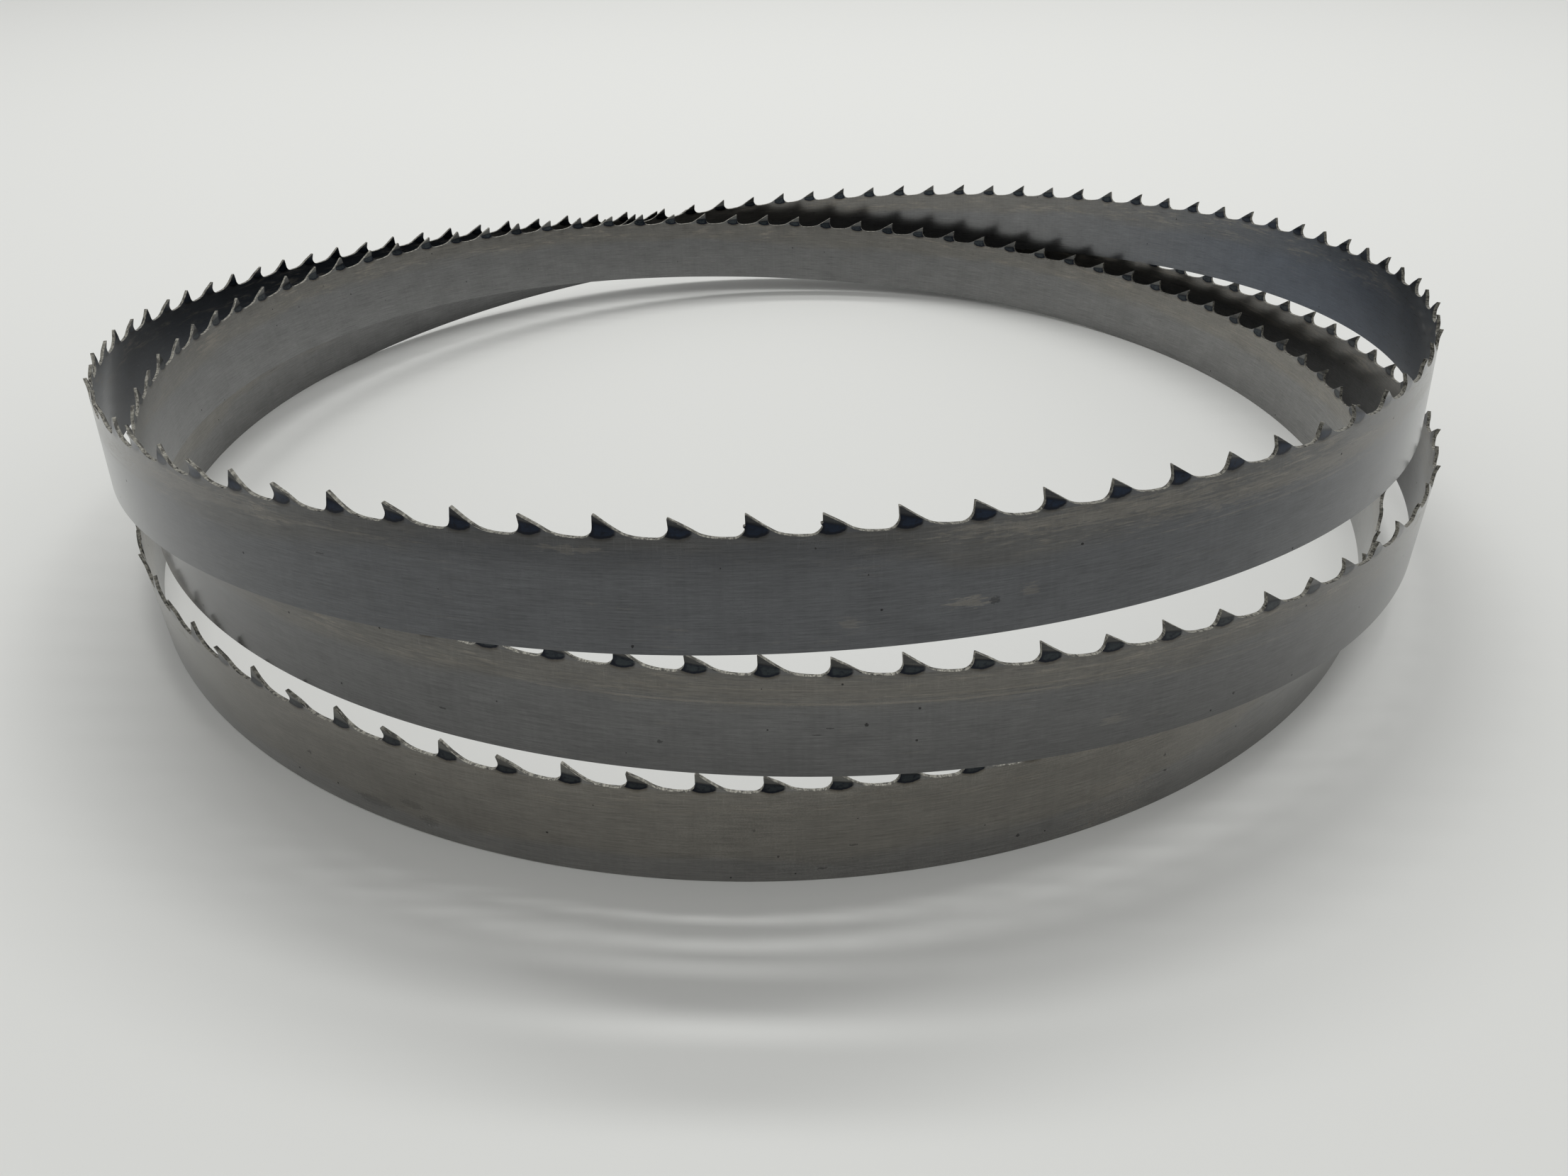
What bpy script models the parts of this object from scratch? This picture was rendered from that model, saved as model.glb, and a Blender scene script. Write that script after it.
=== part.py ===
"""Band saw blade: a closed band of toothed steel, folded into three coils with its teeth up."""
import math

import bpy
import numpy as np

MM = 0.001

# the band, cut to length and welded into a loop
TOOTH_PITCH = 6.35 * MM
TOOTH_COUNT = 258
BAND_WIDTH = 12.7 * MM
BAND_THICKNESS = 0.4 * MM

# one hook tooth
TOOTH_DEPTH = 2.0 * MM
HOOK_ANGLE = math.radians(2.0)
BACK_ANGLE = math.radians(32.0)
BACK_LENGTH = 2.8 * MM
GULLET_RADIUS = 1.05 * MM
TOOTH_SET = 0.25 * MM
FIRST_TOOTH = 0.5 * TOOTH_PITCH
BACK_CURVE_STEPS = 4
GULLET_STEPS = 3

# how the loop lies when it is folded
STACK_GAP = 0.3 * MM
STATIONS_PER_COIL = 6
# for each sixth of a coil from the front, turning to the right:
# height in layers, place outside the mean radius in hundredths of it, outward lean in degrees
FIRST_COIL = (
    (2.03, -1.2, -6.5),
    (1.83, -0.4, -5.0),
    (1.14, 1.4, -5.5),
    (0.44, 1.1, -6.0),
    (0.00, 3.6, -6.5),
    (0.00, 0.8, 0.5),
)
SECOND_COIL = (
    (0.00, -0.2, -4.0),
    (0.00, -1.8, -0.5),
    (0.00, -2.8, 5.0),
    (0.23, -7.2, 5.5),
    (0.71, -5.8, 3.5),
    (1.01, -1.8, -1.5),
)
THIRD_COIL = (
    (1.00, -0.6, -4.5),
    (0.62, 2.9, -0.5),
    (0.21, 3.4, 0.0),
    (0.17, 2.6, -2.5),
    (0.70, 4.6, -8.0),
    (1.58, 1.3, -4.0),
)

# how finely the curves are followed
ROUTE_STEPS_PER_STATION = 400
BACK_EDGE_STEPS = 2
LENGTH_ROUNDS = 6

STEEL_COLOUR = (0.105, 0.105, 0.100, 1.0)


def curve_through(values, steps):
    """Smooth closed curve through evenly spaced values, given at a fixed number of steps a gap."""
    values = np.asarray(values, float)
    count = len(values)
    before, after = np.roll(values, 1), np.roll(values, -1)
    ring = 4.0 * np.eye(count) + np.roll(np.eye(count), 1, 0) + np.roll(np.eye(count), -1, 0)
    bend = np.linalg.solve(ring, 6.0 * (before - 2.0 * values + after))
    part = np.arange(steps) / steps
    rest = 1.0 - part
    pieces = []
    for i in range(count):
        j = (i + 1) % count
        line = values[i] * rest + values[j] * part
        bow = bend[i] * (rest ** 3 - rest) + bend[j] * (part ** 3 - part)
        pieces.append(line + bow / 6.0)
    return np.concatenate(pieces)


def lay_route():
    """Back edge of the band along its whole length, as columns that can be read at any length."""
    stations = np.array(FIRST_COIL + SECOND_COIL + THIRD_COIL)
    layer = BAND_WIDTH + STACK_GAP
    height = np.maximum(curve_through(stations[:, 0] * layer, ROUTE_STEPS_PER_STATION), 0.0)
    place = curve_through(stations[:, 1] / 100.0, ROUTE_STEPS_PER_STATION)
    lean = np.tan(np.radians(curve_through(stations[:, 2], ROUTE_STEPS_PER_STATION)))
    turn = 2.0 * math.pi * np.arange(len(height)) / (STATIONS_PER_COIL * ROUTE_STEPS_PER_STATION)
    outward = np.stack([np.sin(turn), -np.cos(turn)], axis=1)
    loop = TOOTH_PITCH * TOOTH_COUNT
    coils = len(stations) / STATIONS_PER_COIL
    radius = loop / (2.0 * math.pi * coils)
    for _ in range(LENGTH_ROUNDS):
        plan = outward * (radius * (1.0 + place))[:, None]
        track = np.column_stack([plan, height])
        track = np.vstack([track, track[:1]])
        length = np.concatenate([[0.0], np.cumsum(np.linalg.norm(np.diff(track, axis=0), axis=1))])
        radius += (loop - length[-1]) / (2.0 * math.pi * coils)
    ahead = np.roll(plan, -1, 0) - np.roll(plan, 1, 0)
    ahead /= np.linalg.norm(ahead, axis=1)[:, None]
    across = np.column_stack([ahead[:, 1], -ahead[:, 0]])
    columns = np.column_stack([plan, height, lean, outward, across])
    return length, np.vstack([columns, columns[:1]])


def tooth_outline():
    """One pitch of the toothed edge from its tip: distance along the band and depth below the tip."""
    land = (BACK_LENGTH * math.cos(BACK_ANGLE), BACK_LENGTH * math.sin(BACK_ANGLE))
    # the gullet's small radius ends on the undercut face of the next tooth
    sweep = math.pi / 2.0 - HOOK_ANGLE
    foot_depth = TOOTH_DEPTH - GULLET_RADIUS * (1.0 - math.cos(sweep))
    foot = (TOOTH_PITCH + foot_depth * math.tan(HOOK_ANGLE), foot_depth)
    floor = (foot[0] - GULLET_RADIUS * math.sin(sweep), TOOTH_DEPTH)
    outline = [(0.0, 0.0), land]
    # the long curve leaves the back of the tooth in line with it and runs out level
    knee = (land[0] + (TOOTH_DEPTH - land[1]) / math.tan(BACK_ANGLE), TOOTH_DEPTH)
    for i in range(1, BACK_CURVE_STEPS):
        t = i / BACK_CURVE_STEPS
        outline.append(tuple((1 - t) ** 2 * land[k] + 2 * t * (1 - t) * knee[k] + t * t * floor[k]
                             for k in range(2)))
    for i in range(GULLET_STEPS + 1):
        angle = sweep * i / GULLET_STEPS
        outline.append((floor[0] + GULLET_RADIUS * math.sin(angle),
                        TOOTH_DEPTH - GULLET_RADIUS * (1.0 - math.cos(angle))))
    return outline


def zip_chains(upper, lower):
    """Triangles between two chains of (distance, index), the upper one taken from left to right."""
    faces = []
    i = j = 0
    while i < len(upper) - 1 or j < len(lower) - 1:
        step_up = j == len(lower) - 1 or (
            i < len(upper) - 1 and upper[i + 1][0] <= lower[j + 1][0])
        if step_up:
            faces.append((lower[j][1], upper[i + 1][1], upper[i][1]))
            i += 1
        else:
            faces.append((lower[j][1], lower[j + 1][1], upper[i][1]))
            j += 1
    return faces


def band_mesh():
    """Vertices and triangles of the whole band."""
    length, columns = lay_route()
    loop = length[-1]
    outline = tooth_outline()
    land_end = outline[1][0]

    distances, depths, sets = [], [], []
    for tooth in range(TOOTH_COUNT):
        start = FIRST_TOOTH + tooth * TOOTH_PITCH
        side = -TOOTH_SET if tooth % 2 else TOOTH_SET
        for k, (along, depth) in enumerate(outline):
            distances.append(start + along)
            depths.append(depth)
            sets.append(side if k == 0 else 0.0)
        for k in range(BACK_EDGE_STEPS):
            distances.append(start + land_end + TOOTH_PITCH * k / BACK_EDGE_STEPS)
            depths.append(BAND_WIDTH)
            sets.append(0.0)
    distances = np.array(distances) % loop
    above = BAND_WIDTH - np.array(depths)
    sets = np.array(sets)

    read = np.column_stack([np.interp(distances, length, column) for column in columns.T])
    plan, height, lean, outward, across = (
        read[:, 0:2], read[:, 2], read[:, 3], read[:, 4:6], read[:, 6:8])
    middle = plan + outward * (lean * above)[:, None] + across * sets[:, None]
    sides = []
    for offset in (BAND_THICKNESS / 2.0, -BAND_THICKNESS / 2.0):
        sides.append(np.column_stack([middle + across * offset, height + above]))
    points = np.vstack(sides)
    points[:, :2] -= (points[:, :2].max(axis=0) + points[:, :2].min(axis=0)) / 2.0

    per_tooth = len(outline) + BACK_EDGE_STEPS
    other = len(distances)
    faces = []
    for tooth in range(TOOTH_COUNT):
        here = tooth * per_tooth
        following = (tooth + 1) % TOOTH_COUNT * per_tooth
        crown = [here + k for k in range(len(outline))] + [following, following + 1]
        back = [here + len(outline) + k for k in range(BACK_EDGE_STEPS)] + [following + len(outline)]
        foot, tip, land = crown[-3:]
        upper = [(outline[k][0], here + k) for k in range(1, len(outline))]
        upper.append((land_end + TOOTH_PITCH, land))
        lower = [(land_end + TOOTH_PITCH * k / BACK_EDGE_STEPS, v) for k, v in enumerate(back)]
        outer = zip_chains(upper, lower) + [(foot, land, tip)]
        faces += outer
        faces += [(c + other, b + other, a + other) for a, b, c in outer]
        # the ground edge over the gullet and the next tooth, then the back edge
        for chain, flip in ((crown[1:], False), (back, True)):
            for a, b in zip(chain[:-1], chain[1:]):
                pair = [(a, b, b + other), (a, b + other, a + other)]
                faces += [(f[2], f[1], f[0]) for f in pair] if flip else pair
    return points, faces


def steel_material():
    material = bpy.data.materials.new("cold_rolled_steel")
    material.use_nodes = True
    shader = material.node_tree.nodes["Principled BSDF"]
    shader.inputs["Base Color"].default_value = STEEL_COLOUR
    shader.inputs["Metallic"].default_value = 1.0
    shader.inputs["Roughness"].default_value = 0.38
    return material


for item in list(bpy.data.objects):
    bpy.data.objects.remove(item, do_unlink=True)

blade_points, blade_faces = band_mesh()
blade_mesh = bpy.data.meshes.new("saw_band")
blade_mesh.from_pydata(blade_points.tolist(), [], blade_faces)
blade_mesh.update()
blade_mesh.materials.append(steel_material())
saw_band = bpy.data.objects.new("saw_band", blade_mesh)
bpy.context.scene.collection.objects.link(saw_band)
blade_mesh.shade_smooth()
blade_mesh.set_sharp_from_angle(angle=math.radians(20.0))
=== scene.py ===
import math

import bmesh
import bpy
import numpy as np
from mathutils import Matrix, Vector
from mathutils.geometry import interpolate_bezier


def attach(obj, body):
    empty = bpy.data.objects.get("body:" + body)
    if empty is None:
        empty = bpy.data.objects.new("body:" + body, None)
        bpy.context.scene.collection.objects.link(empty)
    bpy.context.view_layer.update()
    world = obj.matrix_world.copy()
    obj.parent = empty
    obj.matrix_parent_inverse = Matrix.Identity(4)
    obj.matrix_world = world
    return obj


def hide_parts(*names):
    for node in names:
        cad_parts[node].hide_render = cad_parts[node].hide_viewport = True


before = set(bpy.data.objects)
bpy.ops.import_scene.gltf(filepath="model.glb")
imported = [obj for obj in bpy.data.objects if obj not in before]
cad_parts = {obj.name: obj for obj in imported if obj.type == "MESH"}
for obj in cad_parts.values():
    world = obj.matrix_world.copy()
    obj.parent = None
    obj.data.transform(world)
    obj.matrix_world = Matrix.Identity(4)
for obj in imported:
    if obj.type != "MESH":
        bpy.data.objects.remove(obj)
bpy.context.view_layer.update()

# The strip. The blade is one strip of cold-rolled spring steel, half an inch wide and 0.4 mm thick.
# Hook teeth are milled along one edge, four to the inch, and the other edge is dressed square.
# One pitch is drawn flat here, from the floor of one gullet to the floor of the next.
PITCH = 0.00635
TEETH = 258
STRIP_WIDTH = 0.0127
STRIP_THICKNESS = 0.0004
TOOTH_DEPTH = 0.002
HOOK = math.radians(2.0)
TOOTH_BACK = math.radians(32.0)
TOOTH_BACK_LENGTH = 0.0028
GULLET_RADIUS = 0.00105
WORN_TIP = 0.00007
DRESSED_EDGE = 0.00003
SAME_PLACE = 1e-7
SIDEWAYS = 0.9
ARC_STEPS = 8

gullet_sweep = math.pi / 2 - HOOK
face_depth = TOOTH_DEPTH - GULLET_RADIUS * (1 - math.cos(gullet_sweep))
floor_height = STRIP_WIDTH - TOOTH_DEPTH
gullet_start = face_depth * math.tan(HOOK) - GULLET_RADIUS * math.sin(gullet_sweep)
gullet_end = gullet_start + PITCH
land_end = Vector((TOOTH_BACK_LENGTH * math.cos(TOOTH_BACK), 0,
                   STRIP_WIDTH - TOOTH_BACK_LENGTH * math.sin(TOOTH_BACK)))
back_fall = 1 / math.tan(TOOTH_BACK)
knee = Vector((land_end.x + (land_end.z - floor_height) * back_fall, 0, floor_height))
floor_end = Vector((gullet_end, 0, floor_height))

strip = bmesh.new()
pen = strip.verts.new((gullet_start, 0, floor_height))
arc = bmesh.ops.spin(strip, geom=[pen], cent=(gullet_start, 0, floor_height + GULLET_RADIUS),
                     axis=(0, -1, 0), angle=gullet_sweep, steps=ARC_STEPS)
pen = [part for part in arc["geom_last"] if isinstance(part, bmesh.types.BMVert)][0]
outline = [Vector((WORN_TIP * math.tan(HOOK), 0, STRIP_WIDTH - WORN_TIP)),
           Vector((WORN_TIP * back_fall, 0, STRIP_WIDTH - WORN_TIP)), land_end]
outline += interpolate_bezier(land_end, land_end.lerp(knee, 2 / 3), floor_end.lerp(knee, 2 / 3),
                              floor_end, ARC_STEPS)[1:]
outline += [Vector((gullet_end, 0, 0)), Vector((gullet_start, 0, 0))]
for corner in outline:
    pen = bmesh.ops.extrude_vert_indiv(strip, verts=[pen])["verts"][0]
    pen.co = corner
strip.verts.ensure_lookup_table()
bmesh.ops.contextual_create(strip, geom=[pen, strip.verts[0]])
bmesh.ops.edgenet_fill(strip, edges=strip.edges[:])

# the grid on which the flat strip bends: columns across it, and rows that follow the set of the teeth
SET_START = 0.00124
COLUMN_SHARES = (0.17, 0.35, 0.53, 0.70, 0.85)
ROW_HEIGHTS = (0.0045, 0.0085, floor_height, STRIP_WIDTH - SET_START, 0.0118, 0.0121, 0.0124)
cuts = [((gullet_start + PITCH * share, 0, 0), (1, 0, 0)) for share in COLUMN_SHARES]
cuts += [((0, 0, height), (0, 0, 1)) for height in ROW_HEIGHTS]
for place, direction in cuts:
    bmesh.ops.bisect_plane(strip, geom=strip.verts[:] + strip.edges[:] + strip.faces[:],
                           dist=SAME_PLACE, plane_co=place, plane_no=direction)

# its thickness, without walls where it goes on into the next pitch, and its edges slightly broken
bmesh.ops.translate(strip, verts=strip.verts, vec=(0, -STRIP_THICKNESS / 2, 0))
thick = bmesh.ops.extrude_face_region(strip, geom=strip.faces[:])
bmesh.ops.translate(strip, vec=(0, STRIP_THICKNESS, 0),
                    verts=[part for part in thick["geom"] if isinstance(part, bmesh.types.BMVert)])
bmesh.ops.recalc_face_normals(strip, faces=strip.faces[:])


def stands_at(face, place):
    """Whether that face is an end wall across the strip."""
    return all(abs(corner.co.x - place) < SAME_PLACE for corner in face.verts)


bmesh.ops.delete(strip, context="FACES_ONLY", geom=[
    face for face in strip.faces if stands_at(face, gullet_start) or stands_at(face, gullet_end)])
rim = [edge for edge in strip.edges if len(edge.link_faces) == 2
       and sum(abs(face.normal.y) > SIDEWAYS for face in edge.link_faces) == 1]
bmesh.ops.bevel(strip, geom=rim, offset=DRESSED_EDGE, offset_type="OFFSET", segments=1, profile=0.5,
                affect="EDGES", material=-1, clamp_overlap=True)
strip_mesh = bpy.data.meshes.new("saw_band_blade")
strip.to_mesh(strip_mesh)
strip.free()
blade = bpy.data.objects.new("saw_band_blade", strip_mesh)
bpy.context.scene.collection.objects.link(blade)

# The whole band, still flat: the pitch is repeated 258 times, and each is joined to the next one.
# The weld that closes the loop follows once the band is folded.
JOIN = 2e-6
run = blade.modifiers.new("teeth", "ARRAY")
run.count = TEETH
run.use_relative_offset = False
run.use_constant_offset = True
run.constant_offset_displace = (PITCH, 0, 0)
run.use_merge_vertices = True
run.merge_threshold = JOIN
bpy.context.view_layer.update()
band = bpy.data.meshes.new_from_object(blade.evaluated_get(bpy.context.evaluated_depsgraph_get()))
blade.modifiers.clear()
blade.data = band
band.name = "saw_band_blade"


def counts(rows, name):
    """One whole number for each row of the mesh."""
    values = np.empty(len(rows), int)
    rows.foreach_get(name, values)
    return values


def places(rows, name):
    """Three numbers for each row of the mesh, such as a place or a direction."""
    values = np.empty(len(rows) * 3)
    rows.foreach_get(name, values)
    return values.reshape(-1, 3)


flat = places(band.vertices, "co")
corner_vertex = counts(band.loops, "vertex_index")
face_middle = places(band.polygons, "center")
face_normal = places(band.polygons, "normal")
face_corners = counts(band.polygons, "loop_total")
is_side = np.abs(face_normal[:, 1]) > SIDEWAYS
is_back = ~is_side & (face_middle[:, 2] < STRIP_WIDTH / 2)
is_milled = ~is_side & ~is_back
tooth_of_face = np.floor((face_middle[:, 0] - gullet_start) / PITCH).astype(int)

# The setting of the teeth: each is bent to one side above a line 1.24 mm below its tip, to the
# outside and the inside in turn, with a short bend and a straight tip.
TOOTH_SET = 0.00025
BEND_SHARE = 0.35
risen = np.clip((flat[:, 2] - (STRIP_WIDTH - SET_START)) / SET_START, 0, 1)
bent = np.where(risen < BEND_SHARE, risen ** 2 / (2 * BEND_SHARE), risen - BEND_SHARE / 2)
tooth_of_vertex = np.floor((flat[:, 0] - gullet_start) / PITCH).astype(int)
towards = np.where(tooth_of_vertex % 2 == 0, -1.0, 1.0)
set_over = towards * TOOTH_SET * bent / (1 - BEND_SHARE / 2)

# How the blade lies: folded into three coils on each other, held by nothing but its own spring.
# For each sixth of a coil from the front, turning to the right: height in layers, place outside
# the mean radius in hundredths of it, outward lean in degrees.
LAYER = 0.013
COILS = 3
SIXTHS = 6
STEPS = 400
LENGTH_ROUNDS = 6
COURSE = np.array((
    (2.03, -1.2, -6.5), (1.83, -0.4, -5.0), (1.14, 1.4, -5.5),
    (0.44, 1.1, -6.0), (0.00, 3.6, -6.5), (0.00, 0.8, 0.5),
    (0.00, -0.2, -4.0), (0.00, -1.8, -0.5), (0.00, -2.8, 5.0),
    (0.23, -7.2, 5.5), (0.71, -5.8, 3.5), (1.01, -1.8, -1.5),
    (1.00, -0.6, -4.5), (0.62, 2.9, -0.5), (0.21, 3.4, 0.0),
    (0.17, 2.6, -2.5), (0.70, 4.6, -8.0), (1.58, 1.3, -4.0)))


def spring_curve(values):
    """Smooth closed curve through values at even steps, as a springy strip takes it."""
    count = len(values)
    ring = 4 * np.eye(count) + np.roll(np.eye(count), 1, 0) + np.roll(np.eye(count), -1, 0)
    bow = np.linalg.solve(ring, 6 * (np.roll(values, 1) - 2 * values + np.roll(values, -1)))
    part = np.arange(STEPS) / STEPS
    rest = 1 - part
    after = np.roll(values, -1)
    bow_after = np.roll(bow, -1)
    line = values[:, None] * rest + after[:, None] * part
    curve = bow[:, None] * (rest ** 3 - rest) + bow_after[:, None] * (part ** 3 - part)
    return (line + curve / 6).ravel()


lift = np.maximum(spring_curve(COURSE[:, 0] * LAYER), 0)
outside = spring_curve(COURSE[:, 1] / 100)
lean = np.tan(np.radians(spring_curve(COURSE[:, 2])))
turn = 2 * math.pi * np.arange(len(lift)) / (SIXTHS * STEPS)
outward = np.stack([np.sin(turn), -np.cos(turn)], axis=1)
loop_length = PITCH * TEETH
radius = loop_length / (2 * math.pi * COILS)
for _ in range(LENGTH_ROUNDS):
    plan = outward * (radius * (1 + outside))[:, None]
    track = np.column_stack([plan, lift])
    track = np.vstack([track, track[:1]])
    gone = np.concatenate([[0], np.cumsum(np.linalg.norm(np.diff(track, axis=0), axis=1))])
    radius += (loop_length - gone[-1]) / (2 * math.pi * COILS)
ahead = np.roll(plan, -1, 0) - np.roll(plan, 1, 0)
ahead /= np.linalg.norm(ahead, axis=1)[:, None]
course = np.column_stack([plan, lift, lean, outward, ahead[:, 1], -ahead[:, 0]])
course = np.vstack([course, course[:1]])


def fold(along, over, above):
    """Where a point of the flat band lies in the folded blade; over is towards the outer side."""
    at = (along + PITCH / 2) % gone[-1]
    here = np.column_stack([np.interp(at, gone, column) for column in course.T])
    leant = here[:, 4:6] * (here[:, 3] * above)[:, None]
    place = here[:, 0:2] + leant + here[:, 6:8] * over[:, None]
    return np.column_stack([place, here[:, 2] + above])


# the grinding left a small burr on the faces of two teeth, where the face meets the gullet
BURR = 0.0002
BURR_HIGH = 0.00005
BURR_WIDE = 0.0003
BURR_TEETH = (0, 257)
face_foot = np.abs(flat[:, 2] - (STRIP_WIDTH - face_depth)) < BURR_HIGH
near_face = flat[:, 0] - tooth_of_vertex * PITCH < BURR_WIDE
flat[face_foot & near_face & np.isin(tooth_of_vertex % TEETH, BURR_TEETH), 0] -= BURR

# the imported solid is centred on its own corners, which are these on each side of the band
tip_at = np.arange(TEETH) * PITCH
corners = []
for side in (-1, 1):
    half = np.full(TEETH, side * STRIP_THICKNESS / 2)
    tip_set = np.where(np.arange(TEETH) % 2 == 0, TOOTH_SET, -TOOTH_SET)
    corners.append(fold(tip_at, half + tip_set, np.full(TEETH, STRIP_WIDTH)))
    corners.append(fold(tip_at + land_end.x, half, np.full(TEETH, land_end.z)))
    corners.append(fold(tip_at + land_end.x, half, np.zeros(TEETH)))
    corners.append(fold(tip_at + land_end.x + PITCH / 2, half, np.zeros(TEETH)))
corners = np.vstack(corners)
folded = fold(flat[:, 0], -(flat[:, 1] + set_over), flat[:, 2])
folded[:, :2] -= (corners[:, :2].max(axis=0) + corners[:, :2].min(axis=0)) / 2
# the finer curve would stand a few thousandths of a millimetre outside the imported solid's box
KEPT_IN_BOX = 0.99988
folded[:, :2] *= KEPT_IN_BOX

# Maps for the finish: "Strip" measures millimetres along the band and up from its back edge, with the
# inner side further along than the outer one. "Edge" goes along the teeth and across the thickness.
# "OFBake" lays both sides out in rows of 33 teeth, and the edges in narrow rows above them.
SEAM_TOOTH = 43
INNER_SHIFT = 480 * PITCH
ROW_TEETH = 33
TO_MM = 1000
ROW_MARGIN = 0.004
SIDE_ROWS_FROM = 0.003
SIDE_ROW = 0.0575
SIDE_ROW_USED = 0.0545
EDGE_ROWS_FROM = 0.925
EDGE_ROW = 0.0046
EDGE_ROW_USED = 0.0034
corner_face = np.repeat(np.arange(len(band.polygons)), face_corners)
corner_flat = flat[corner_vertex]
corner_tooth = tooth_of_face[corner_face]
corner_along = corner_flat[:, 0] + (corner_tooth < SEAM_TOOTH) * TEETH * PITCH
corner_inner = face_normal[corner_face, 1] > SIDEWAYS
strip_at = np.column_stack([corner_along + corner_inner * INNER_SHIFT, corner_flat[:, 2]]) * TO_MM
band.uv_layers.new(name="Strip").data.foreach_set("uv", strip_at.ravel())
edge_at = np.column_stack([corner_along + corner_flat[:, 2], corner_flat[:, 1]]) * TO_MM
band.uv_layers.new(name="Edge").data.foreach_set("uv", edge_at.ravel())
row = corner_tooth // ROW_TEETH
rows_a_side = math.ceil(TEETH / ROW_TEETH)
into_row = corner_flat[:, 0] - gullet_start - row * ROW_TEETH * PITCH
on_milled = is_milled[corner_face]
up_edge = np.where(on_milled, corner_flat[:, 2] - floor_height, corner_flat[:, 2])
on_side = is_side[corner_face]
row_at = np.where(on_side, into_row, into_row + up_edge) / (ROW_TEETH * PITCH)
side_height = (SIDE_ROWS_FROM + SIDE_ROW * (row + rows_a_side * corner_inner)
               + SIDE_ROW_USED * corner_flat[:, 2] / STRIP_WIDTH)
edge_height = (EDGE_ROWS_FROM + EDGE_ROW * (row + rows_a_side * on_milled)
               + EDGE_ROW_USED * (corner_flat[:, 1] / STRIP_THICKNESS + 0.5))
row_place = ROW_MARGIN + (1 - 2 * ROW_MARGIN) * row_at
bake_at = np.column_stack([row_place, np.where(on_side, side_height, edge_height)])
band.uv_layers.new(name="OFBake").data.foreach_set("uv", bake_at.ravel())
band.polygons.foreach_set("material_index", np.where(is_side, 0, 1).astype(np.int32))
band.vertices.foreach_set("co", folded.ravel())

# the weld: the two ends lie together in the folded band and become one
WELD = 3e-6
SHARP_FROM = math.radians(24)
closing = bmesh.new()
closing.from_mesh(band)
bmesh.ops.remove_doubles(closing, verts=closing.verts[:], dist=WELD)
bmesh.ops.recalc_face_normals(closing, faces=closing.faces[:])
closing.to_mesh(band)
closing.free()
band.shade_smooth()
band.set_sharp_from_angle(angle=SHARP_FROM)

# The finish: cold-rolled steel under a thin film of oil, still glossy, with a fine grain along the
# strip. The film is bluish on the upper coil and olive on the lower ones; its brightness round the loop
# is painted reflection. The teeth are hardened, which leaves a blue-black heat mark at the foot of each,
# partly painted reflection of the bent set, and their tips are ground above it.
# Places on it are in millimetres, along the band and up from its back edge, as on the "Strip" map.
PITCH_MM = PITCH * TO_MM
LOOP_MM = PITCH_MM * TEETH
GULLET_FLOOR = floor_height * TO_MM
FILM_START = SEAM_TOOTH * PITCH_MM
# its colour at seven even places round the loop, from the seam of the maps; the brightness is painted
# reflection, lightest on the lowest coil's front and darkest on the upper coil's front
FILM_AND_REFLECTION = ((0.126, 0.127, 0.128), (0.212, 0.209, 0.201), (0.131, 0.132, 0.131), (0.125, 0.125, 0.125),
        (0.124, 0.125, 0.126), (0.098, 0.101, 0.107), (0.126, 0.127, 0.128))
WARM_TINT = (1.035, 1.0, 0.935, 1)
# painted shade on the inner side of the upper coil, at its left and at its right
INNER_LEFT_SHADE = (0.28, 0.34, 0.46, 1)
INNER_RIGHT_SHADE = (0.50, 0.60, 0.78, 1)
TAN_STAIN = (0.270, 0.245, 0.205, 1)
SPECK_BLACK = (0.015, 0.015, 0.015, 1)
# stretches of the band whose finish or painted shade differs: where each starts, is full, begins to
# fade and ends
UPPER_COIL = (1350, 1500, 1760, 1860)
UPPER_INSIDE_SHADE = (1385, 1430, 1760, 1860)
LOWER_COIL = (350, 480, 545, 640)
CLEAN_TOP = (1582, 1608, 1643, 1652)
# the inner side lies further along the map than this
INNER_FROM = (2400, 2500)

rolled_steel = bpy.data.materials.new("rolled_steel")
rolled_steel.use_nodes = True
rolled = rolled_steel.node_tree


def put(tree, kind, *feeds, **settings):
    """A node in that tree; each feed is a value or another node's output, and None leaves it."""
    made = tree.nodes.new("ShaderNode" + kind)
    for name, choice in settings.items():
        setattr(made, name, choice)
    for socket, feed in zip(made.inputs, feeds):
        if isinstance(feed, bpy.types.NodeSocket):
            tree.links.new(feed, socket)
        elif feed is not None:
            socket.default_value = feed
    return made


def sums(tree, operation, *feeds):
    """The result of one sum, such as ADD or MAXIMUM."""
    return put(tree, "Math", *feeds, operation=operation).outputs[0]


def product(tree, *feeds):
    result = feeds[0]
    for feed in feeds[1:]:
        result = sums(tree, "MULTIPLY", result, feed)
    return result


def total(tree, *feeds):
    result = feeds[0]
    for feed in feeds[1:]:
        result = sums(tree, "ADD", result, feed)
    return result


def graded(tree, value, slope, base):
    """The base, and the slope times the value on top of it."""
    return sums(tree, "MULTIPLY_ADD", value, slope, base)


def sway(tree, noise, amount):
    """That noise as a swing around 0, of half the amount to each side."""
    return graded(tree, noise, amount, -amount / 2)


def between(tree, value, start, end):
    """Rises smoothly from 0 to 1 as value goes from start to end."""
    ramp = put(tree, "MapRange", value, start, end, 0.0, 1.0, interpolation_type="SMOOTHSTEP")
    return ramp.outputs[0]


def opposite(tree, mask):
    """0 where the mask is 1, and 1 where it is 0."""
    return sums(tree, "SUBTRACT", 1.0, mask)


def within(tree, value, start, full, fading, gone):
    """1 from full to fading, and 0 before start and after gone."""
    faded = opposite(tree, between(tree, value, fading, gone))
    return product(tree, between(tree, value, start, full), faded)


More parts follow.
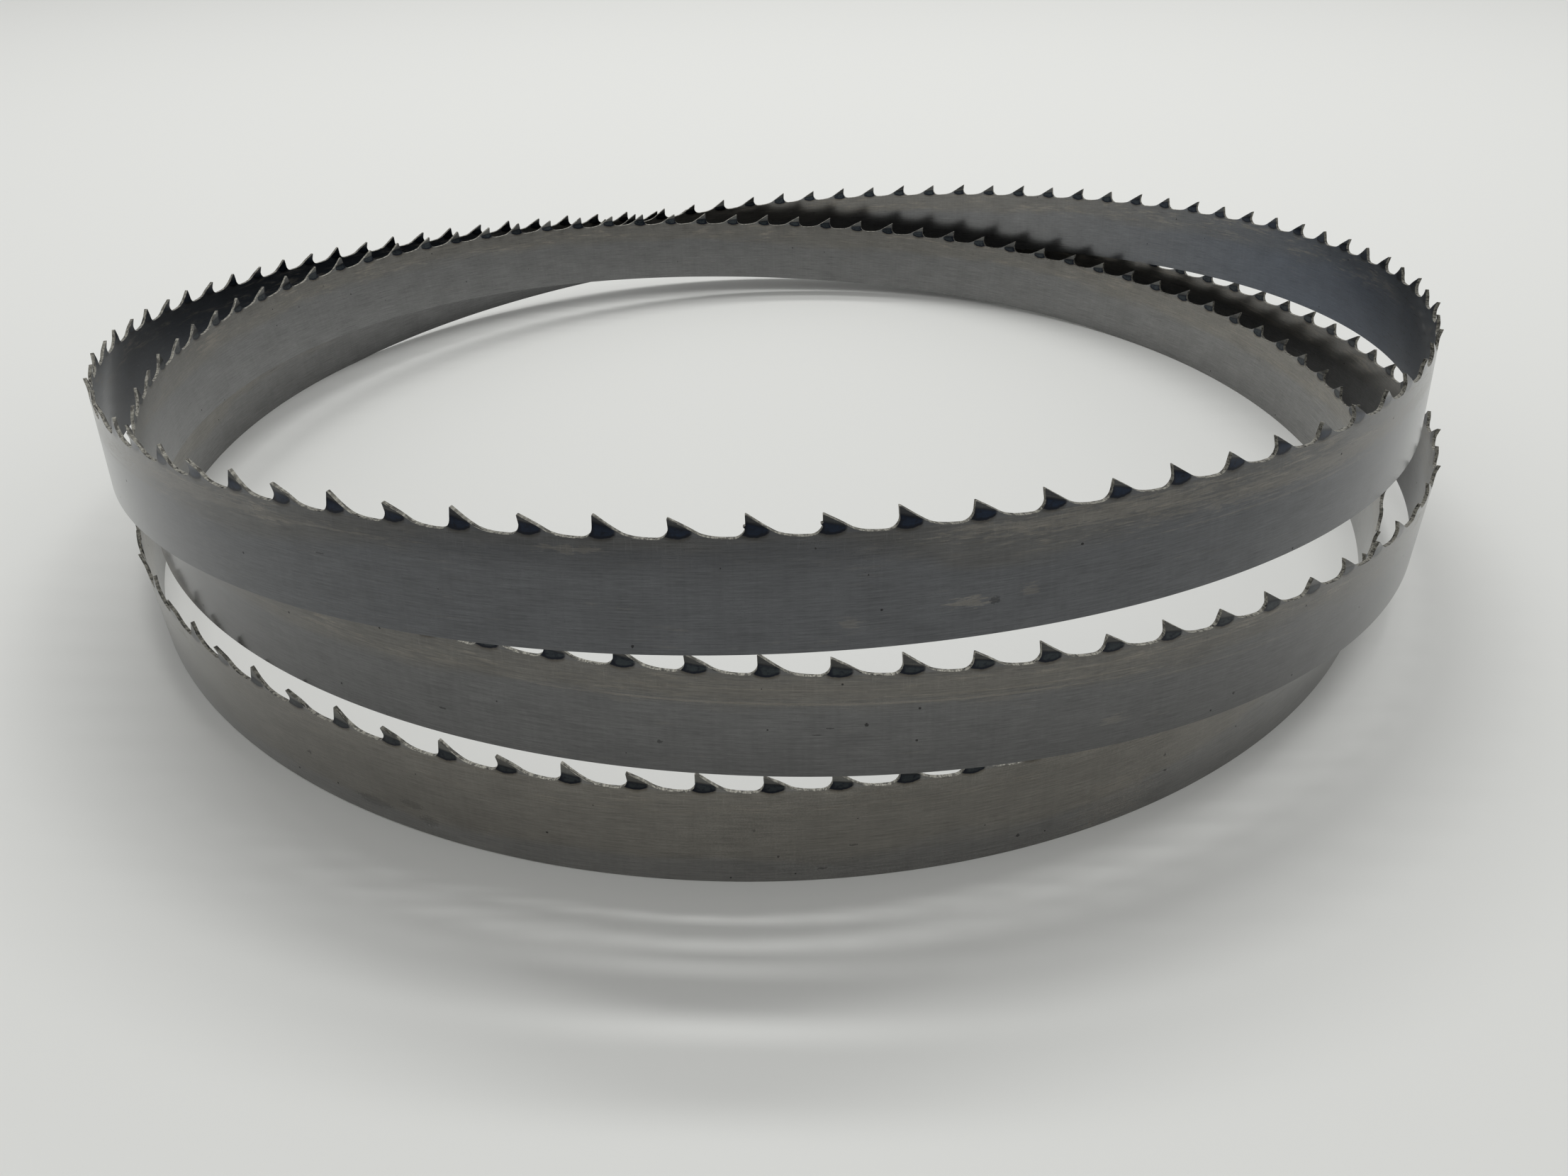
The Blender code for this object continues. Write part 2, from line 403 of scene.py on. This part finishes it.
def tinted(tree, base, colour, share, blend="MIX"):
    """That share of a colour over the base, mixed in or multiplied."""
    number_sockets = [None] * 5
    return put(tree, "Mix", share, *number_sockets, base, colour,
               data_type="RGBA", blend_type=blend).outputs[2]


def finished(material, colour, gloss, height, strength, depth):
    """Links the colour, the roughness and the relief of a metal, and gives its shader."""
    tree = material.node_tree
    relief = put(tree, "Bump")
    relief.inputs["Strength"].default_value = strength
    relief.inputs["Distance"].default_value = depth
    tree.links.new(height, relief.inputs["Height"])
    shader = tree.nodes["Principled BSDF"]
    tree.links.new(colour, shader.inputs["Base Color"])
    tree.links.new(gloss, shader.inputs["Roughness"])
    tree.links.new(relief.outputs[0], shader.inputs["Normal"])
    return shader


def shared_group(name, result, **wanted):
    """A node group with those inputs and one result: its tree, what it is given and what it gives."""
    tree = bpy.data.node_groups.new(name, "ShaderNodeTree")
    for label, kind in wanted.items():
        tree.interface.new_socket(label, in_out="INPUT", socket_type="NodeSocket" + kind)
    tree.interface.new_socket(result, in_out="OUTPUT", socket_type="NodeSocketFloat")
    group_in = tree.nodes.new("NodeGroupInput")
    group_out = tree.nodes.new("NodeGroupOutput")
    return tree, group_in.outputs, group_out.inputs[0]


# the grain of the metal, on the rolled sides and on the milled edge
band_grain, given, grain_out = shared_group(
    "band_grain", "Grain", Place="Vector", Shift="Vector", Fineness="Vector", Detail="Float",
    Roughness="Float", Warp="Float")
stretched = put(band_grain, "Mapping", given["Place"], given["Shift"], None, given["Fineness"])
grain_noise = put(band_grain, "TexNoise", stretched.outputs[0], None, 1.0, given["Detail"],
                  given["Roughness"], 2.0, None, None, given["Warp"], noise_dimensions="2D")
band_grain.links.new(grain_noise.outputs["Fac"], grain_out)

# where the upper coil lies, whose heat marks, partly painted reflection, are bluer and whose milled
# edge is darker
upper_stretch, given, upper_out = shared_group("upper_stretch", "Mask", Along="Float")
upper_stretch.links.new(within(upper_stretch, given["Along"], *UPPER_COIL), upper_out)


def grain(tree, place, along, up, detail=3.0, rough=0.55, warp=0.0, shift=0.0):
    """Noise of about 1/along by 1/up millimetres on the band, around 0.5."""
    return put(tree, "Group", place, (shift, 0.0, 0.0), (along, up, 1.0), detail, rough, warp,
               node_tree=band_grain).outputs[0]


strip_uv = put(rolled, "UVMap", uv_map="Strip").outputs[0]
apart = put(rolled, "SeparateXYZ", strip_uv)
up = apart.outputs[1]
inside = between(rolled, apart.outputs[0], *INNER_FROM)
along = graded(rolled, inside, -INNER_SHIFT * TO_MM, apart.outputs[0])

# the film round the loop, its brightness painted reflection, drifting to olive or blue in broad clouds,
# and the grain of the rolls
film_and_reflection = put(rolled, "ValToRGB", graded(rolled, along, 1 / LOOP_MM, -FILM_START / LOOP_MM))
film_and_reflection.color_ramp.interpolation = "EASE"
stops = film_and_reflection.color_ramp.elements
while len(stops) < len(FILM_AND_REFLECTION):
    stops.new(0.5)
for index, hue in enumerate(FILM_AND_REFLECTION):
    stops[index].position = index / (len(FILM_AND_REFLECTION) - 1)
    stops[index].color = (*hue, 1)
broad = grain(rolled, strip_uv, 0.03, 0.16, 3.0)
clouds = grain(rolled, strip_uv, 0.22, 0.35, 4.0, shift=31.0)
lines = grain(rolled, strip_uv, 0.20, 8.0, 5.0, 0.72, shift=7.0)
fine_lines = grain(rolled, strip_uv, 1.0, 26.0, 2.0, 0.6, shift=3.0)
upright = grain(rolled, strip_uv, 2.6, 0.12, 2.0, shift=11.0)
upper_coil = put(rolled, "Group", along, node_tree=upper_stretch).outputs[0]
lower_coil = within(rolled, along, *LOWER_COIL)
clean_top = within(rolled, along, *CLEAN_TOP)
warm_height = total(rolled, up, product(rolled, lower_coil, 5.0), product(rolled, clean_top, -2.5),
                    sway(rolled, broad, 6.0))
warm = product(rolled, between(rolled, warm_height, 6.6, 8.4),
               opposite(rolled, between(rolled, up, GULLET_FLOOR, 11.0)))
colour = tinted(rolled, film_and_reflection.outputs[0], WARM_TINT, warm, "MULTIPLY")
# painted shade: the inner side of the upper coil is darkened to blue-black, darkest on the left, for the
# shade between the coils
upper_inside_shade = product(rolled, inside, within(rolled, along, *UPPER_INSIDE_SHADE))
inner_painted_shade = tinted(rolled, INNER_LEFT_SHADE, INNER_RIGHT_SHADE, between(rolled, along, 1560, 1700))
colour = tinted(rolled, colour, inner_painted_shade, upper_inside_shade, "MULTIPLY")
tone = total(rolled, 1.0, sway(rolled, lines, 0.96), sway(rolled, fine_lines, 0.55),
             sway(rolled, clouds, 0.34), sway(rolled, upright, 0.14))
clean_height = product(rolled, clean_top, between(rolled, up, 6.8, 9.6))
# painted reflection: the inner side is made 1.38 times lighter, for the bright floor it mirrors inside
# the coil
tone = product(rolled, tone, graded(rolled, inside, 0.38, 1.0), graded(rolled, clean_height, -0.24, 1.0))

# fine scratches across the grain near the teeth, and a peppering of tiny dark dots in places
scratch_grain = grain(rolled, strip_uv, 7.0, 0.45, 2.0, shift=71.0)
scratches = product(rolled, between(rolled, scratch_grain, 0.64, 0.74), between(rolled, up, 7.0, 10.0))
pepper_grain = grain(rolled, strip_uv, 9.0, 9.0, 1.0, shift=83.0)
pepper = product(rolled, between(rolled, pepper_grain, 0.66, 0.76), between(rolled, clouds, 0.50, 0.62))
tone = total(rolled, tone, product(rolled, scratches, 0.16), product(rolled, pepper, -0.30))

# tan stains in patches and short streaks, mostly below the gullets
patch = grain(rolled, strip_uv, 0.10, 0.55, 4.0, 0.62, 0.6, shift=19.0)
streaks = grain(rolled, strip_uv, 0.30, 3.2, 4.0, 0.66, 0.3, shift=53.0)
stain = product(rolled, within(rolled, up, 6.2, 9.2, 10.3, 10.9), between(rolled, patch, 0.46, 0.64),
                between(rolled, streaks, 0.42, 0.64), graded(rolled, clean_top, -0.85, 1.0))
wipes = product(rolled, between(rolled, patch, 0.55, 0.72), between(rolled, streaks, 0.52, 0.70), 0.35)
stain = sums(rolled, "MAXIMUM", stain, wipes)

# marks that handling and storage left, each at its place: along, up, half length, half height, depth
LIGHT_MARKS = (
    (1650.8, 3.4, 1.7, 0.45, 0.75), (1656.2, 3.7, 0.9, 0.45, 0.5), (1640.6, 2.5, 1.0, 0.5, 0.45),
    (1617.0, 9.7, 2.6, 0.35, 0.6), (1106.7, 3.0, 1.2, 0.5, 0.5), (1084.0, 9.2, 28.0, 1.1, 0.28),
    (1664.0, 9.7, 13.0, 0.7, 0.6), (1700.0, 8.2, 30.0, 0.9, 0.5), (582.0, 2.8, 4.2, 2.8, 0.55),
    (1543.0, 8.8, 12.0, 1.5, 0.45), (1570.0, 9.4, 16.0, 0.8, 0.45))
LIGHT_LINES = (
    (1084.0, 7.85, 30.0, 0.13, 0.75), (1097.0, 8.5, 16.0, 0.10, 0.65), (1072.0, 9.3, 12.0, 0.10, 0.6),
    (1110.0, 9.6, 14.0, 0.10, 0.6), (1557.0, 7.6, 18.0, 0.12, 0.5), (1674.0, 8.9, 18.0, 0.12, 0.5),
    (1706.0, 8.0, 26.0, 0.16, 0.55), (1690.0, 6.6, 24.0, 0.12, 0.40), (1120.0, 6.9, 14.0, 0.12, 0.35),
    (1580.0, 9.2, 22.0, 0.14, 0.45), (560.0, 8.8, 18.0, 0.12, 0.35))
DARK_MARKS = (
    (1661.1, 7.2, 0.15, 0.12, 1.0), (1622.1, 0.8, 0.14, 0.14, 1.0), (1642.1, 6.9, 0.08, 0.08, 0.9),
    (1637.7, 9.6, 0.08, 0.10, 0.8), (1653.2, 3.2, 0.50, 0.35, 0.5), (1592.0, 6.5, 0.60, 0.07, 0.6),
    (1082.7, 5.6, 0.17, 0.22, 0.9), (1079.5, 5.3, 0.42, 0.06, 0.7), (1078.3, 4.6, 0.45, 0.06, 0.7),
    (1121.5, 2.0, 0.18, 0.18, 0.8), (1042.9, 2.9, 0.40, 0.10, 0.7), (1064.2, 3.2, 0.25, 0.20, 0.6),
    (571.1, 1.8, 0.20, 0.18, 0.9), (545.1, 6.3, 0.22, 0.12, 0.6), (547.3, 3.1, 0.14, 0.14, 0.8),
    (551.5, 1.4, 0.50, 0.14, 0.6), (554.5, 4.0, 0.40, 0.12, 0.6), (588.2, 5.9, 0.20, 0.16, 0.7),
    (588.5, 3.8, 0.18, 0.16, 0.7), (496.2, 4.9, 0.30, 0.20, 0.6), (504.8, 2.0, 2.3, 0.6, 0.28),
    (509.8, 3.4, 1.4, 0.5, 0.30), (511.6, 1.9, 1.0, 0.7, 0.26), (545.5, 3.0, 2.6, 2.6, 0.10),
    (566.0, 5.5, 24.0, 6.0, 0.15))
ragged = grain(rolled, strip_uv, 5.0, 5.0, 2.0, shift=23.0)
torn = grain(rolled, strip_uv, 0.55, 4.0, 4.0, 0.66, shift=41.0)


def marked(mark, edge, depth):
    """Where one mark lies, with an edge that a noise makes uneven."""
    mark_along, mark_up, half_long, half_high, strength = mark
    middle = (mark_along, mark_up, 0)
    size = (half_long, half_high, 1)
    away = put(rolled, "VectorMath", strip_uv, middle, operation="SUBTRACT").outputs[0]
    away = put(rolled, "VectorMath", away, size, operation="DIVIDE").outputs[0]
    distance = put(rolled, "VectorMath", away, operation="LENGTH").outputs["Value"]
    reach = total(rolled, distance, sway(rolled, edge, depth))
    return product(rolled, between(rolled, reach, 1.15, 0.75), strength)


for mark in LIGHT_MARKS:
    stain = sums(rolled, "MAXIMUM", stain, marked(mark, torn, 4.0))
for mark in LIGHT_LINES:
    stain = sums(rolled, "MAXIMUM", stain, marked(mark, torn, 1.8))
colour = tinted(rolled, colour, TAN_STAIN, product(rolled, stain, 0.42))

# specks of dirt: one in each 6 mm cell at most, and those that the photograph shows
cell_place = put(rolled, "Mapping", strip_uv, None, None, (0.16, 0.16, 1)).outputs[0]
cells = put(rolled, "TexVoronoi", cell_place, None, 1.0, voronoi_dimensions="2D", feature="F1")
lucky = put(rolled, "SeparateColor", cells.outputs["Color"]).outputs[0]
speck_size = product(rolled, between(rolled, lucky, 0.55, 1.0), 0.020)
dirt = between(rolled, sums(rolled, "SUBTRACT", cells.outputs["Distance"], speck_size), 0.006, -0.006)
for mark in DARK_MARKS:
    dirt = sums(rolled, "MAXIMUM", dirt, marked(mark, ragged, 1.6))

# the heat mark of each tooth, partly heat tint and partly painted reflection of the bent set: a crescent
# below, a slanting ground line above, darkest at its rim
TOOTH_FROM = -1.015
CRESCENT_MIDDLE = 0.75
CRESCENT_HALF = 1.15
HEAT_REFLECTION_BLACK = (0.002, 0.004, 0.010, 1)
HEAT_REFLECTION_BLUE = (0.007, 0.014, 0.030, 1)
HEAT_REFLECTION_SLATE = (0.023, 0.029, 0.033, 1)
GROUND_TINT = (1.12, 1.16, 1.20, 1)
SCORCH_TINT = (0.68, 0.72, 0.75, 1)
RIDGE_GREY = (0.24, 0.235, 0.22, 1)
# the brown of a painted shade below the heat mark
HALO_SHADE = (0.48, 0.44, 0.38, 1)
local = sums(rolled, "WRAP", along, TOOTH_FROM + PITCH_MM, TOOTH_FROM)
tooth_start = sums(rolled, "SUBTRACT", along, local)
tooth = sums(rolled, "ROUND", sums(rolled, "DIVIDE", tooth_start, PITCH_MM))
chance = put(rolled, "TexWhiteNoise", None, tooth, noise_dimensions="1D")
spread = chance.outputs["Value"]
other_spread = put(rolled, "SeparateColor", chance.outputs["Color"]).outputs[2]
risen_mm = sums(rolled, "SUBTRACT", up, GULLET_FLOOR)
off_middle = sums(rolled, "SUBTRACT", local, CRESCENT_MIDDLE)
off_middle = sums(rolled, "DIVIDE", off_middle, CRESCENT_HALF)
crescent = total(rolled, product(rolled, off_middle, off_middle, 0.33),
                 graded(rolled, spread, 0.16, -0.14), product(rolled, upper_coil, 0.12))
uneven = grain(rolled, strip_uv, 2.2, 2.2, 3.0, 0.6, shift=61.0)
above_crescent = total(rolled, sums(rolled, "SUBTRACT", risen_mm, crescent), sway(rolled, uneven, 0.16))
ground_line = total(rolled, product(rolled, local, graded(rolled, upper_coil, -0.12, -0.15)),
                    product(rolled, upper_coil, 0.35), graded(rolled, other_spread, 0.30, 0.98))
below_ground = sums(rolled, "SUBTRACT", ground_line, risen_mm)
in_tooth = within(rolled, local, -0.50, -0.20, 1.78, 2.12)
over_crescent = between(rolled, above_crescent, -0.04, 0.07)
heat_and_reflection = product(rolled, in_tooth, over_crescent, between(rolled, below_ground, -0.12, 0.22))
core = product(rolled, between(rolled, above_crescent, 0.14, 0.34),
               between(rolled, below_ground, 0.05, 0.35),
               between(rolled, local, 0.0, 0.35), between(rolled, uneven, 0.20, 0.55))
ground = product(rolled, in_tooth, between(rolled, below_ground, 0.05, -0.10))
scorch = product(rolled, in_tooth, over_crescent, between(rolled, below_ground, -0.9, 0.1))
ridge = product(rolled, in_tooth, between(rolled, below_ground, 0.02, -0.05),
                between(rolled, below_ground, -0.16, -0.06), between(rolled, spread, 0.3, 0.8))
# painted shade: a brown shadow that fades in just below the crescent and stays over the tooth above
halo_shade = product(rolled, in_tooth, between(rolled, above_crescent, -0.42, 0.0))
colour = tinted(rolled, colour, GROUND_TINT, ground, "MULTIPLY")
colour = tinted(rolled, colour, SCORCH_TINT, scorch, "MULTIPLY")
colour = tinted(rolled, colour, RIDGE_GREY, product(rolled, ridge, 0.35))
colour = tinted(rolled, colour, HALO_SHADE, product(rolled, halo_shade, 0.8), "MULTIPLY")
# painted reflection in part: the blue-black crescent stands for the dark that the bent set mirrors
burnt_and_reflected = tinted(rolled, HEAT_REFLECTION_BLACK, tinted(rolled, HEAT_REFLECTION_SLATE, HEAT_REFLECTION_BLUE, upper_coil), core)
colour = tinted(rolled, colour, burnt_and_reflected, heat_and_reflection)
colour = tinted(rolled, colour, SPECK_BLACK, product(rolled, dirt, 0.85))

# gloss: the film mirrors, less where it is stained, dirty or on the inner side
shaded = put(rolled, "VectorMath", colour, None, None, tone, operation="SCALE").outputs[0]
gloss = total(rolled, graded(rolled, lines, 0.10, 0.15), product(rolled, inside, 0.09),
              product(rolled, dirt, 0.3), product(rolled, stain, 0.10))
rolled_height = total(rolled, product(rolled, lines, 0.6), product(rolled, fine_lines, 0.4))
rolled_shader = finished(rolled_steel, shaded, gloss, rolled_height, strength=0.25, depth=0.00002)
rolled_shader.inputs["Metallic"].default_value = 0.93
rolled_shader.inputs["Coat Weight"].default_value = 0.25
rolled_shader.inputs["Coat Roughness"].default_value = 0.12

# The milled edge: the cutter leaves the land and the gullets pale where they are clean, with marks
# across the thickness. Most of it has been darkened by the hardening, in uneven patches.
CLEAN_DARK = (0.270, 0.264, 0.232, 1)
CLEAN_LIGHT = (0.500, 0.490, 0.440, 1)
MOTTLED = (0.150, 0.146, 0.133, 1)
BURNT = (0.012, 0.012, 0.014, 1)
milled_edge = bpy.data.materials.new("milled_edge")
milled_edge.use_nodes = True
milled = milled_edge.node_tree
edge_uv = put(milled, "UVMap", uv_map="Edge").outputs[0]
edge_along = put(milled, "SeparateXYZ", edge_uv).outputs[0]
cutter = grain(milled, edge_uv, 7.0, 0.5, 3.0, 0.65)
mottle = grain(milled, edge_uv, 2.2, 2.6, 4.0, 0.70, shift=5.0)
burn = grain(milled, edge_uv, 1.2, 3.4, 4.0, 0.70, shift=17.0)
bright = tinted(milled, CLEAN_DARK, CLEAN_LIGHT, between(milled, cutter, 0.40, 0.62))
bright = tinted(milled, bright, MOTTLED, between(milled, mottle, 0.49, 0.58))
bright = tinted(milled, bright, BURNT, product(milled, between(milled, burn, 0.60, 0.67), 0.9))
upper_edge = put(milled, "Group", edge_along, node_tree=upper_stretch).outputs[0]
edge_shade = put(milled, "VectorMath", bright, None, None, graded(milled, upper_edge, -0.18, 1.0),
                 operation="SCALE").outputs[0]
edge_gloss = graded(milled, cutter, 0.15, 0.70)
milled_shader = finished(milled_edge, edge_shade, edge_gloss, cutter, strength=0.5, depth=0.00003)
milled_shader.inputs["Metallic"].default_value = 1.0

band.materials.append(rolled_steel)
band.materials.append(milled_edge)
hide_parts("saw_band")
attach(blade, "root")

# The studio: a pale seamless floor, pale surroundings, and two long lamps high behind the coil,
# which shine through the gaps between the coils as rings of light on the floor in front.
HALF_FLOOR = 3
FLOOR_DROP = 0.00001
floor_mesh = bpy.data.meshes.new("studio_floor")
sheet = bmesh.new()
bmesh.ops.create_grid(sheet, x_segments=2, y_segments=2, size=HALF_FLOOR)
bmesh.ops.translate(sheet, verts=sheet.verts, vec=(0, 0, -FLOOR_DROP))
sheet.to_mesh(floor_mesh)
sheet.free()
studio_floor = bpy.data.objects.new("studio_floor", floor_mesh)
bpy.context.scene.collection.objects.link(studio_floor)
paper = bpy.data.materials.new("studio_paper")
paper.use_nodes = True
paper_shader = paper.node_tree.nodes["Principled BSDF"]
paper_shader.inputs["Base Color"].default_value = (0.775, 0.782, 0.755, 1)
paper_shader.inputs["Roughness"].default_value = 0.6
floor_mesh.materials.append(paper)

world = bpy.data.worlds.new("studio")
bpy.context.scene.world = world
world.use_nodes = True
surroundings = world.node_tree.nodes["Background"]
surroundings.inputs["Color"].default_value = (1, 1, 1, 1)
surroundings.inputs["Strength"].default_value = 0.515
LAMPS = (("lamp_high", (0.03, 0.345, 0.95), 0.75, 0.055, 2.35),
         ("lamp_back", (0.03, 0.50, 0.84), 0.85, 0.06, 2.6))
for name, place, wide, deep, power in LAMPS:
    lamp = bpy.data.lights.new(name, "AREA")
    lamp.shape = "RECTANGLE"
    lamp.size = wide
    lamp.size_y = deep
    lamp.energy = power
    lamp_object = bpy.data.objects.new(name, lamp)
    lamp_object.location = place
    lamp_object.rotation_euler = (-Vector(place)).to_track_quat("-Z", "Y").to_euler()
    bpy.context.scene.collection.objects.link(lamp_object)

# The camera stands where the photograph was taken from: close in front, looking down at the coils.
camera = bpy.data.cameras.new("photo_view")
camera.lens = 27.558
camera.sensor_width = 36
camera.clip_start = 0.01
camera.clip_end = 20
camera_object = bpy.data.objects.new("photo_view", camera)
bpy.context.scene.collection.objects.link(camera_object)
camera_object.location = (-0.001765, -0.169058, 0.086527)
camera_turn = Matrix.Rotation(math.radians(-1.055), 3, "Z")
camera_tilt = Matrix.Rotation(math.radians(90 - 33.128), 3, "X")
camera_roll = Matrix.Rotation(math.radians(-0.8131), 3, "Z")
camera_object.rotation_euler = (camera_turn @ camera_tilt @ camera_roll).to_euler()
bpy.context.scene.camera = camera_object
bpy.context.scene.view_settings.view_transform = "Standard"
